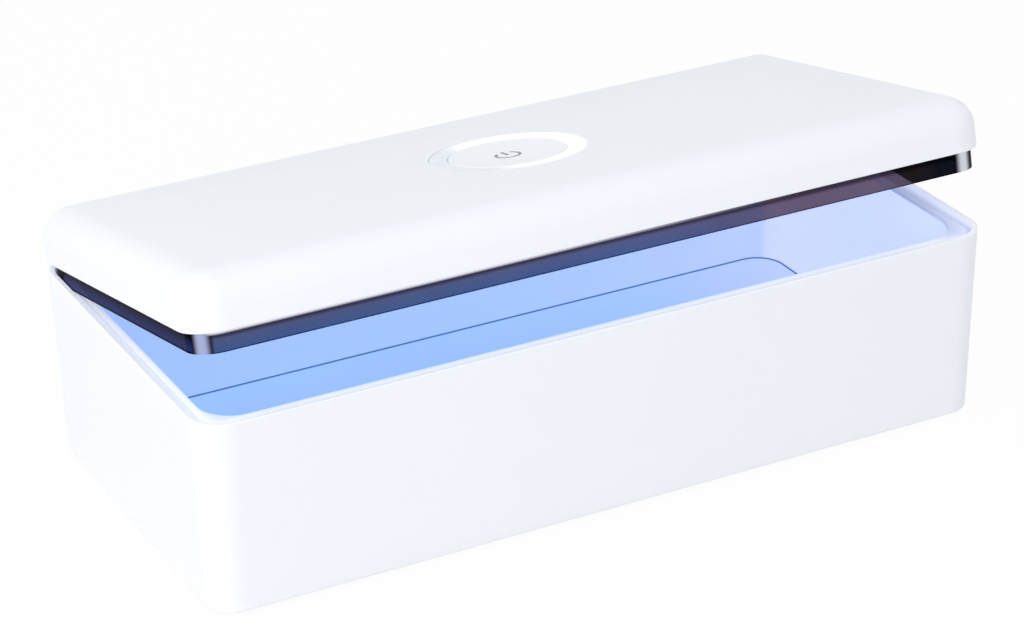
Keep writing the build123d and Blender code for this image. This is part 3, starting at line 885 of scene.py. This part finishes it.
@dataclass(frozen=True)
class LightGuide(Finish):
    """Milky plastic that carries light round the button.

    One side is lighter and glows more, and the other takes a dim colour. This is painted light
    and shade for how light falls on it. A painted glow on its walls lightens the gaps beside it.
    """

    patches: Pattern = Pattern(0.003)
    gloss_change: Span = (-0.03, 0.03)
    grain_depth: float = 0.000002
    lid: LidFrame = LidFrame()
    glow: float = 0.15
    faint: float = 0.35
    dim: Colour = (0.8, 0.82, 0.87)
    span: Span = (-0.012, -0.004)
    middle: float = 0.0
    reach: Span = (0.0156, 0.0201)
    wall_edge: float = 0.0001
    wall_glow: Span = (0.8, 1.2)
    cloud_size: float = 0.004
    cloud: Span = (0.98, 1.0)
    milk: float = 0.3
    milk_depth: float = 0.002

    def dress(self, sheet: Sheet) -> None:
        """Fills in the milky colour and the glow, with painted light on one side and painted
        shade on the other.

        Args:
            sheet: The material's nodes.
        """
        across, along, _ = sheet.lid_place(self.lid)
        # painted light and shade: lighter with more glow on one side, the dim colour on the
        # other
        lit = sheet.ramp(across, self.span)
        walls = self.walls(sheet, across, along)
        glow = sheet.sum(Sum.ADD, sheet.between(lit, self.faint, 1.0), walls)
        cloud = sheet.cloud(self.cloud_size, self.cloud)
        colour = sheet.shaded(sheet.blend(lit, self.dim, self.colour), cloud)
        sheet.main(
            Base_Color=colour,
            Emission_Color=sheet.scaled(colour, glow),
            Emission_Strength=self.glow,
            Subsurface_Weight=self.milk,
            Subsurface_Radius=(self.milk_depth,) * 3,
        )

    def walls(self, sheet: Sheet, across: Socket, along: Socket) -> Socket:
        """Works out the painted light on the ring's walls, which lightens the gaps beside the
        ring.

        Args:
            sheet: The material's nodes.
            across: The place along the lid's length.
            along: The place from the lid's front to its hinge.

        Returns:
            The extra glow on the ring's inner and outer wall.
        """
        radius = sheet.radius(across, sheet.sum(Sum.LESS, along, self.middle))
        (inner, outer), edge = self.reach, self.wall_edge
        return sheet.highest(
            sheet.ramp(radius, (inner, inner + edge), (self.wall_glow[0], 0.0)),
            sheet.ramp(radius, (outer - edge, outer), (0.0, self.wall_glow[1])),
        )


@dataclass(frozen=True)
class Metal(Finish):
    """Bare metal with a fine grain along one direction."""

    flow: Pattern = Pattern(0.004, 4.0)
    tones: Span = (0.85, 1.0)
    patches: Pattern = Pattern(0.004, 4.0)
    gloss_change: Span = (-0.06, 0.06)
    grain: Pattern = Pattern(0.004, 4.0)
    grain_depth: float = 0.000003
    stretch: Point | None = (40.0, 1.0, 1.0)

    def dress(self, sheet: Sheet) -> None:
        """Fills in the metal's colour."""
        super().dress(sheet)
        sheet.main(Metallic=1.0)


@dataclass(frozen=True)
class Reflector(Finish):
    """Bright sheet with a soft dimpled surface that spreads the lamps' light."""

    flow: Pattern = Pattern(0.02)
    tones: Span = (0.93, 1.0)
    patches: Pattern = Pattern(0.005)
    gloss_change: Span = (-0.04, 0.05)
    grain_depth: float = 0.00012
    dimple: float = 0.004
    softness: float = 0.6
    metallic: float = 0.9

    def relief(self, sheet: Sheet) -> Socket:
        """Lays out the dimples.

        Args:
            sheet: The material's nodes.

        Returns:
            Their height.
        """
        cells = sheet.cells(self.dimple, Cells.HOLLOW)
        sheet.fill(cells, Smoothness=self.softness)
        return cells.outputs["Distance"]

    def dress(self, sheet: Sheet) -> None:
        """Fills in the sheet's colour."""
        super().dress(sheet)
        sheet.main(Metallic=self.metallic)


@dataclass(frozen=True)
class Glass(Finish):
    """Clear quartz."""

    tones: Span = (1.0, 1.02)
    gloss_change: Span = (0.0, 0.02)
    index: float = 1.46

    def dress(self, sheet: Sheet) -> None:
        """Fills in the glass's colour and lets light through it."""
        super().dress(sheet)
        sheet.main(IOR=self.index, Transmission_Weight=1.0)


@dataclass(frozen=True)
class Rubber(Finish):
    """Matt silicone rubber, with patches of dust on it."""

    flow: Pattern = Pattern(0.0015, 4.0)
    tones: Span = (1.0, 1.5)
    lift: float = 0.01
    patches: Pattern = Pattern(0.004)
    gloss_change: Span = (-0.06, 0.06)
    grain: Pattern = Pattern(0.0003, 3.0)
    grain_depth: float = 0.00002
    dust_span: Span = (0.45, 0.75)

    def pattern(self, sheet: Sheet, kind: Pattern) -> Socket:
        """Returns a pattern, which for the colour is gathered into patches."""
        noise = super().pattern(sheet, kind)
        return sheet.ramp(noise, self.dust_span) if kind is self.flow else noise


@dataclass(frozen=True)
class SolderMask(Finish):
    """A printed board, with its copper tracks showing through the lacquer."""

    tones: Span = (1.0, 1.35)
    lift: float = 0.01
    gloss_span: Span = RISE
    gloss_change: Span = (0.0, -0.08)
    grain_depth: float = 0.00002
    track: float = 0.0022
    track_span: Span = (0.06, 0.1)

    def pattern(self, sheet: Sheet, kind: Pattern) -> Socket:
        """Lays out the tracks, which the colour, gloss and height all follow.

        Args:
            sheet: The material's nodes.
            kind: Not used, since the tracks have a size of their own.

        Returns:
            1 on a track, else 0.
        """
        cells = sheet.cells(self.track, Cells.EDGE)
        cells.distance = "CHEBYCHEV"
        return sheet.ramp(cells.outputs["Distance"], self.track_span, FALL)


@dataclass(frozen=True)
class Emitter(Finish):
    """A ceramic lamp package whose face gives off blue light."""

    flow: Pattern = Pattern(0.001)
    tones: Span = (1.0, 0.9)
    gloss_change: Span = (-0.05, 0.05)
    light: Colour = (0.3, 0.5, 1.0)
    glow: float = 1.5

    def dress(self, sheet: Sheet) -> None:
        """Fills in the package's colour and its light."""
        super().dress(sheet)
        sheet.main(Emission_Color=self.light, Emission_Strength=self.glow)


# ---------------------------------------------------------------- added pieces


@dataclass(frozen=True)
class Turning:
    """A turned shape, given as pairs of radius and height along its axis."""

    profile: tuple[Span, ...]
    segments: int = 64

    def add(self, form: bmesh.types.BMesh, place: Matrix) -> None:
        """Adds the shape to a mesh.

        Args:
            form: The mesh to add to.
            place: The place and direction of its axis.
        """
        rings = []
        for radius, height in self.profile:
            count = self.segments if radius else 1
            spots = (
                Vector((radius * math.cos(turn), radius * math.sin(turn), height))
                for turn in (math.tau * step / count for step in range(count))
            )
            rings.append([form.verts.new(place @ spot) for spot in spots])
        for first, second in zip(rings, rings[1:]):
            for step in range(self.segments):
                after = (step + 1) % self.segments
                corners = (
                    first[step % len(first)],
                    first[after % len(first)],
                    second[after % len(second)],
                    second[step % len(second)],
                )
                form.faces.new(list(dict.fromkeys(corners)))


def add_bar(
    form: bmesh.types.BMesh, low: Vector, high: Vector, bevel: float, place: Matrix
) -> None:
    """Adds a bar with bevelled edges to a mesh.

    Args:
        form: The mesh to add to.
        low: The bar's lowest corner.
        high: Its highest corner.
        bevel: The width of its bevels.
        place: The frame that the corners are given in.
    """
    bar = bmesh.new()
    size = Matrix.Diagonal((*(high - low), 1.0))
    bmesh.ops.create_cube(bar, matrix=Matrix.Translation((low + high) / 2) @ size)
    bmesh.ops.bevel(
        bar,
        geom=bar.edges[:],
        offset=bevel,
        segments=BEVEL_STEPS,
        affect="EDGES",
        profile=ROUND,
    )
    bmesh.ops.transform(bar, matrix=place, verts=bar.verts)
    copy = bpy.data.meshes.new("bar")
    bar.to_mesh(copy)
    bar.free()
    form.from_mesh(copy)
    bpy.data.meshes.remove(copy)


def add_piece(
    name: str, form: bmesh.types.BMesh, body: Body, finish: Finish
) -> bpy.types.Object:
    """Turns a mesh into a piece that rides on a body.

    Args:
        name: The piece's name.
        form: Its mesh, which is used up.
        body: The body it moves with.
        finish: What it is finished in.

    Returns:
        The new piece.
    """
    bmesh.ops.recalc_face_normals(form, faces=form.faces)
    mesh = bpy.data.meshes.new(name)
    form.to_mesh(mesh)
    form.free()
    for face in mesh.polygons:
        face.use_smooth = True
    mesh.set_sharp_from_angle(angle=SHARP_EDGE)
    mesh.materials.append(finish.make())
    piece = bpy.data.objects.new(name, mesh)
    bpy.context.collection.objects.link(piece)
    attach(piece, body.value)
    LOG.info("%s: added on the %s", name, body.value)
    return piece


@dataclass
class FootPads:
    """The four rubber feet, with rounded rims and grip rings in their soles."""

    radius: float = 6.0 * MM
    round_radius: float = 0.5 * MM
    round_steps: int = 6
    ring_depth: float = 0.25 * MM
    ring_slope: float = 0.12 * MM
    rings: tuple[Span, ...] = ((0.0, 1.0), (2.1, 2.9), (3.9, 4.7))
    finish: Finish = Rubber("foot pad rubber", (0.05, 0.052, 0.055), 0.75)

    def profile(self, height: float) -> tuple[Span, ...]:
        """Draws half of a foot's section.

        Args:
            height: The foot's height.

        Returns:
            Pairs of radius and height, from the sole's middle to the top's.
        """
        points = []
        for start, end in self.rings:
            if start:
                points.append((start * MM - self.ring_slope, 0.0))
            points.append((start * MM, self.ring_depth))
            points.append((end * MM, self.ring_depth))
            points.append((end * MM + self.ring_slope, 0.0))
        for step in range(self.round_steps + 1):
            turn = math.radians(90.0 * step / self.round_steps)
            side = self.radius - self.round_radius * (1.0 - math.sin(turn))
            points.append((side, self.round_radius * (1.0 - math.cos(turn))))
        return (*points, (self.radius, height), (0.0, height))

    def build(self) -> None:
        """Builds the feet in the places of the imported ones."""
        low, high = (Vector(corner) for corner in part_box("feet"))
        shape = Turning(self.profile(high.z - low.z))
        form = bmesh.new()
        for across in (low.x + self.radius, high.x - self.radius):
            for along in (low.y + self.radius, high.y - self.radius):
                shape.add(form, Matrix.Translation((across, along, low.z)))
        feet = add_piece("foot_pads", form, Body.BASE, self.finish)
        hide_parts("feet")


@dataclass
class InletTongue:
    """The power inlet's tongue: a moulded sleeve with gold contacts on it."""

    lid: LidFrame
    back_wall: float = 1.0 * MM
    length: float = 5.03 * MM
    half_width: float = 3.38 * MM
    half_thick: float = 0.38 * MM
    bevel: float = 0.1 * MM
    contacts: int = 12
    pitch: float = 0.5 * MM
    contact_half_width: float = 0.14 * MM
    contact_length: float = 3.2 * MM
    contact_bevel: float = 0.02 * MM
    tip_inset: float = 0.5 * MM
    proud: float = 0.03 * MM
    black: Finish = MouldedPlastic("tongue black", BLACK, 0.5)
    gold: Finish = Metal(
        "contact gold", (0.83, 0.6, 0.25), 0.2, stretch=(1.0, 40.0, 1.0)
    )

    def build(self) -> None:
        """Builds the sleeve and its contacts."""
        low, high = self.lid.extent("power_inlet")
        middle = (low.z + high.z) / 2
        root = low.y + self.back_wall
        tip = root + self.length
        sleeve = bmesh.new()
        near = Vector((-self.half_width, root, middle - self.half_thick))
        far = Vector((self.half_width, tip, middle + self.half_thick))
        add_bar(sleeve, near, far, self.bevel, self.lid.matrix)
        add_piece("inlet_tongue", sleeve, Body.LID, self.black)
        strips = bmesh.new()
        face = self.half_thick + self.proud
        half = self.contact_half_width
        end = tip - self.tip_inset
        for step in range(self.contacts):
            across = (step - (self.contacts - 1) / 2) * self.pitch
            near = Vector((across - half, end - self.contact_length, middle - face))
            far = Vector((across + half, end, middle + face))
            add_bar(strips, near, far, self.contact_bevel, self.lid.matrix)
        add_piece("inlet_contacts", strips, Body.LID, self.gold)


@dataclass
class LampLenses:
    """A clear dome under each lamp, inside the throat of its window."""

    lid: LidFrame
    radius: float = 1.5 * MM
    height: float = 0.7 * MM
    root: float = 0.05 * MM
    dome_steps: int = 8
    segments: int = 32
    lamp_size: float = 3.5 * MM
    rows: int = 3
    glass: Finish = Glass("lens clear", (0.95, 0.97, 1.0), 0.02)

    def build(self) -> None:
        """Builds the lenses."""
        low, high = self.lid.extent("uv_leds")
        points = [(0.0, self.root), (self.radius, self.root)]
        for step in range(self.dome_steps):
            turn = math.radians(90.0 * step / self.dome_steps)
            points.append((self.radius * math.cos(turn), -self.height * math.sin(turn)))
        points.append((0.0, -self.height))
        shape = Turning(tuple(points), self.segments)
        half = self.lamp_size / 2
        reach = (high.y - low.y - self.lamp_size) / (self.rows - 1)
        form = bmesh.new()
        for across in (low.x + half, high.x - half):
            for row in range(self.rows):
                spot = Vector((across, low.y + half + row * reach, low.z))
                shape.add(form, self.lid.matrix @ Matrix.Translation(spot))
        add_piece("lamp_lenses", form, Body.LID, self.glass)


# ---------------------------------------------------------- the sub-assemblies


def dress_nodes(**finishes: Finish) -> None:
    """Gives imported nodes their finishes.

    Args:
        **finishes: Each node's finish, by the node's name.
    """
    for node, finish in finishes.items():
        material = finish.make()
        for slot in frame["nodes"][node].material_slots:
            slot.material = material
        LOG.info("%s: %s", node, finish.name)


@dataclass
class WhiteShells:
    """The outer shell, the lid shell and the cover under the base."""

    lid: LidFrame
    white: Colour = linear(248, 249, 252)
    under: Colour = linear(236, 238, 240)
    lip_height: float = 1.5 * MM
    cover_grain: Pattern = Pattern(0.0005)
    cover_depth: float = 0.02 * MM

    def build(self) -> None:
        """Dresses the shells."""
        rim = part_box("liner_tub")[1][2] + self.lip_height
        dress_nodes(
            outer_shell=RimmedPlastic("shell white", self.white, 0.42, rim=rim),
            lid_shell=CrownedPlastic("lid white", self.white, 0.42, lid=self.lid),
            bottom_cover=MouldedPlastic(
                "cover white",
                self.under,
                0.6,
                grain=self.cover_grain,
                grain_depth=self.cover_depth,
            ),
        )


@dataclass
class Chamber:
    """The liner, its floor plate and the dark skirt that closes over them."""

    lid: LidFrame
    # painted light: white plastic as the blue lamps light it, lighter towards the far end
    near: Colour = linear(181, 202, 233)
    far: Colour = linear(191, 205, 238)
    floor_near: Colour = linear(178, 208, 243)
    floor_far: Colour = linear(196, 209, 244)
    smoke: Colour = (0.0115, 0.0111, 0.0182)
    rim_round: float = 0.3 * MM
    # height of the painted shadow line above the floor plate
    shadow_line_height: float = 0.27 * MM

    def build(self) -> None:
        """Dresses the chamber."""
        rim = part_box("liner_tub")[1][2] - self.rim_round
        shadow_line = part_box("floor_plate")[1][2] + self.shadow_line_height
        dress_nodes(
            liner_tub=LinerPlastic(
                "liner white", self.near, 0.35, far_colour=self.far, rim=rim, shadow_line=shadow_line
            ),
            floor_plate=LitPlastic(
                "floor plate", self.floor_near, 0.3, far_colour=self.floor_far
            ),
            skirt_ring=SmokedPlastic("smoked skirt", self.smoke, 0.03, lid=self.lid),
        )


@dataclass
class ButtonGroup:
    """The light ring, the cap and its symbol."""

    lid: LidFrame
    ring: Colour = linear(253, 253, 254)
    cap: Colour = linear(250, 251, 253)
    symbol: Colour = linear(146, 149, 156)
    symbol_tones: Span = (0.94, 1.0)
    ring_bore: float = 15.6 * MM
    ring_radius: float = 20.1 * MM
    wall: float = 0.05 * MM

    def build(self) -> None:
        """Dresses the button's pieces."""
        low, high = self.lid.extent("light_ring")
        dress_nodes(
            light_ring=LightGuide(
                "ring diffuser",
                self.ring,
                0.25,
                lid=self.lid,
                middle=(low.y + high.y) / 2,
                reach=(self.ring_bore + self.wall, self.ring_radius - self.wall),
            ),
            button_cap=MouldedPlastic("cap white", self.cap, 0.35),
            power_symbol=MouldedPlastic(
                "symbol grey", self.symbol, 0.5, tones=self.symbol_tones
            ),
            switch_plunger=MouldedPlastic("plunger black", BLACK, 0.5),
        )


@dataclass
class LampPanel:
    """The reflecting panel in the lid, its windows and lamps."""

    sheet: Colour = (0.75, 0.8, 0.9)
    quartz: Colour = (0.93, 0.96, 1.0)
    ceramic: Colour = (0.8, 0.78, 0.7)
    board: Colour = (0.75, 0.77, 0.75)

    def build(self) -> None:
        """Dresses the panel and what is on it."""
        dress_nodes(
            inner_panel=Reflector("panel reflector", self.sheet, 0.2),
            quartz_windows=Glass("window quartz", self.quartz, 0.02),
            uv_leds=Emitter("lamp ceramic", self.ceramic, 0.5),
            led_boards=SolderMask("board white", self.board, 0.4),
        )


@dataclass
class Fittings:
    """Feet, screws, hinge, magnets, boards and the power inlet."""

    rubber: Colour = (0.05, 0.052, 0.055)
    steel: Colour = (0.55, 0.56, 0.58)
    brass: Colour = (0.6, 0.42, 0.18)
    nickel: Colour = (0.6, 0.6, 0.6)
    lacquer: Colour = (0.01, 0.09, 0.03)
    inlet: Colour = (0.6, 0.61, 0.63)
    can: Colour = (0.6, 0.61, 0.64)
    lamp: Colour = (0.8, 0.8, 0.75)
    screws: tuple[str, ...] = ("cover_screws", "lid_screws", "board_screws")
    magnets: tuple[str, ...] = ("base_magnets", "lid_magnets", "interlock_magnet")

    def build(self) -> None:
        """Dresses the small fittings."""
        dress_nodes(
            feet=Rubber("foot rubber", self.rubber, 0.75),
            hinge_pins=Metal("pin steel", self.steel, 0.2),
            hinge_bushes=Metal("bush brass", self.brass, 0.3),
            power_inlet=Metal("inlet steel", self.inlet, 0.25),
            control_board=SolderMask("board green", self.lacquer, 0.35),
            main_chip=MouldedPlastic("chip black", BLACK, 0.5),
            buzzer=MouldedPlastic("buzzer black", BLACK, 0.45),
            hall_sensor=MouldedPlastic("sensor black", BLACK, 0.5),
            power_parts=Metal("can metal", self.can, 0.3),
            ring_leds=Emitter("ring lamp", self.lamp, 0.5, glow=0.3),
            tact_switch=Metal("switch metal", self.steel, 0.35),
        )
        for node in self.screws:
            dress_nodes(**{node: Metal("screw steel " + node, self.steel, 0.35)})
        for node in self.magnets:
            dress_nodes(**{node: Metal("nickel " + node, self.nickel, 0.15)})


# ------------------------------------------------------------ stage and camera


@dataclass(frozen=True)
class Lamp:
    """A soft square lamp, with its place and side in metres and power in watts."""

    name: str
    place: Point
    size: float
    power: float

    def hang(self, target: Point) -> None:
        """Hangs the lamp so that it faces a point.

        Args:
            target: The point, in metres.
        """
        data = bpy.data.lights.new(self.name, "AREA")
        data.shape = "SQUARE"
        data.size = self.size
        data.energy = self.power
        lamp = bpy.data.objects.new(self.name, data)
        bpy.context.collection.objects.link(lamp)
        lamp.location = self.place
        aim = Vector(target) - Vector(self.place)
        lamp.rotation_euler = aim.to_track_quat("-Z", "Y").to_euler()


@dataclass
class Studio:
    """The floor, the surroundings and the lamps."""

    floor_radius: float = 6.0
    floor_segments: int = 96
    floor_white: Colour = (0.9, 0.9, 0.9)
    floor_roughness: float = 0.9
    floor_glow: float = 0.95
    sky: float = 0.68
    sky_tint: Colour = (0.92, 0.955, 1.0)
    target: Point = (0.0, 0.0, 0.04)
    lamps: tuple[Lamp, ...] = (
        Lamp("key", (-0.85, -0.85, 0.45), 0.7, 4.15),
        Lamp("top", (-0.6, -0.1, 1.0), 0.9, 3.35),
        Lamp("fill", (0.9, 0.0, 0.35), 0.6, 0.6),
    )

    def build(self) -> None:
        """Builds the stage."""
        self.floor()
        self.surroundings()
        for lamp in self.lamps:
            lamp.hang(self.target)

    def floor(self) -> None:
        """Lays a plain white floor that keeps the object's shadow."""
        mesh = bpy.data.meshes.new("floor")
        form = bmesh.new()
        bmesh.ops.create_circle(
            form, cap_ends=True, radius=self.floor_radius, segments=self.floor_segments
        )
        form.to_mesh(mesh)
        form.free()
        floor = bpy.data.objects.new("floor", mesh)
        bpy.context.collection.objects.link(floor)
        sheet = Sheet("floor white")
        sheet.main(Base_Color=self.floor_white, Roughness=self.floor_roughness)
        light = sheet.add("ShaderNodeEmission", Color=WHITE, Strength=1.0)
        glow = sheet.product(sheet.directly_seen(), self.floor_glow)
        mix = sheet.add("ShaderNodeMixShader", Fac=glow)
        sheet.put(sheet.shader.outputs["BSDF"], mix.inputs[1])
        sheet.put(light.outputs["Emission"], mix.inputs[2])
        sheet.fill(sheet.output, Surface=mix.outputs[0])
        mesh.materials.append(sheet.material)

    def surroundings(self) -> None:
        """Fills the room with soft light behind a white background."""
        world = bpy.data.worlds.new("studio")
        bpy.context.scene.world = world
        world.use_nodes = True
        room = Nodes(world.node_tree)
        mix = room.add("ShaderNodeMixShader", Fac=room.directly_seen())
        for slot, colour, level in ((1, self.sky_tint, self.sky), (2, WHITE, 1.0)):
            back = room.add("ShaderNodeBackground", Color=colour, Strength=level)
            room.put(back.outputs[0], mix.inputs[slot])
        room.add("ShaderNodeOutputWorld", Surface=mix.outputs[0])


@dataclass(frozen=True)
class Viewpoint:
    """The camera: where it looks, from where, and how long its lens is."""

    azimuth: float = -27.084
    elevation: float = 26.096
    roll: float = -1.35
    distance: float = 899.798 * MM
    target: Point = (19.492 * MM, 39.064 * MM, 9.072 * MM)
    lens: float = 115.021
    sensor: float = 36.0
    clip: Span = (0.01, 50.0)

    def build(self) -> None:
        """Sets up the camera."""
        angles = (self.azimuth, self.elevation, self.roll)
        turn, lift, lean = (math.radians(angle) for angle in angles)
        level = Vector((math.cos(turn), math.sin(turn), 0.0))
        ahead = Vector((math.sin(turn), -math.cos(turn), 0.0))
        back = ahead * math.cos(lift) + Vector((0.0, 0.0, math.sin(lift)))
        right = level * math.cos(lean) + back.cross(level) * math.sin(lean)
        data = bpy.data.cameras.new("camera")
        data.lens = self.lens
        data.sensor_width = self.sensor
        data.clip_start, data.clip_end = self.clip
        camera = bpy.data.objects.new("camera", data)
        bpy.context.collection.objects.link(camera)
        place = Vector(self.target) + back * self.distance
        rows = zip(right, back.cross(right), back, place)
        camera.matrix_world = Matrix([*rows, (0.0, 0.0, 0.0, 1.0)])
        bpy.context.scene.camera = camera


def main() -> None:
    """Builds and dresses the whole object, its stage and its camera."""
    logging.basicConfig(level=logging.INFO, format="%(name)s: %(message)s")
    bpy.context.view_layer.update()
    lid = LidFrame()
    groups = (
        Viewpoint(),
        WhiteShells(lid),
        Chamber(lid),
        ButtonGroup(lid),
        LampPanel(),
        Fittings(),
        FootPads(),
        InletTongue(lid),
        LampLenses(lid),
        Studio(),
    )
    for group in groups:
        group.build()
    bpy.context.scene.view_settings.view_transform = "Standard"


if __name__ == "__main__":
    main()
